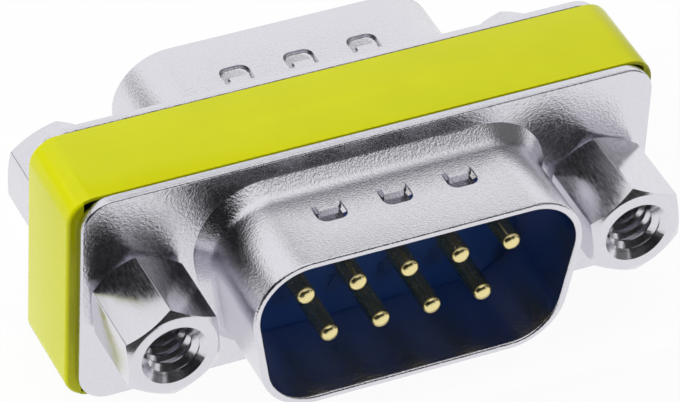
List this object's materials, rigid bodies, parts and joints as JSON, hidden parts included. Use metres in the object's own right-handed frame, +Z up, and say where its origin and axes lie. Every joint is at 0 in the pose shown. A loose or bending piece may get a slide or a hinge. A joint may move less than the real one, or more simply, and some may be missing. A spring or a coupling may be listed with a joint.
{
  "type": "d-sub gender changer",
  "caption": "Slim adapter that joins two D-sub plugs back to back: drawn shells, pins, hex jack posts and a folded sheet band round the middle.",
  "frame": {"origin": "on the surface that the adapter stands on, under the middle of the band", "axes": "+X along the flanges, to the right as seen from the front plug; +Y out of the rear plug, so the front plug faces -Y; +Z up, towards the wide side of both D shells"},
  "size_m": [0.0318, 0.0178, 0.0126],
  "materials": {
    "shell_nickel": "nickel plate over drawn steel, fine orange peel",
    "jack_nickel": "nickel plate over turned hex bar",
    "contact_gold": "bright gold plate",
    "insulator_blue": "moulded glass-filled polyester, satin",
    "board_green": "solder resist over glass-epoxy board",
    "band_yellow": "gloss yellow-green enamel"
  },
  "bodies": {
    "root": {"front_shell": "shell_nickel", "rear_shell": "shell_nickel", "front_insulator": "insulator_blue", "rear_insulator": "insulator_blue", "circuit_board": "board_green", "band": "band_yellow", "front_left_jackscrew": "jack_nickel", "front_right_jackscrew": "jack_nickel", "rear_left_jack_nut": "jack_nickel", "rear_right_jack_nut": "jack_nickel", "front_pin_1": "contact_gold", "front_pin_2": "contact_gold", "front_pin_3": "contact_gold", "front_pin_4": "contact_gold", "front_pin_5": "contact_gold", "front_pin_6": "contact_gold", "front_pin_7": "contact_gold", "front_pin_8": "contact_gold", "front_pin_9": "contact_gold", "rear_pin_1": "contact_gold", "rear_pin_2": "contact_gold", "rear_pin_3": "contact_gold", "rear_pin_4": "contact_gold", "rear_pin_5": "contact_gold", "rear_pin_6": "contact_gold", "rear_pin_7": "contact_gold", "rear_pin_8": "contact_gold", "rear_pin_9": "contact_gold"}
  },
  "joints": []
}
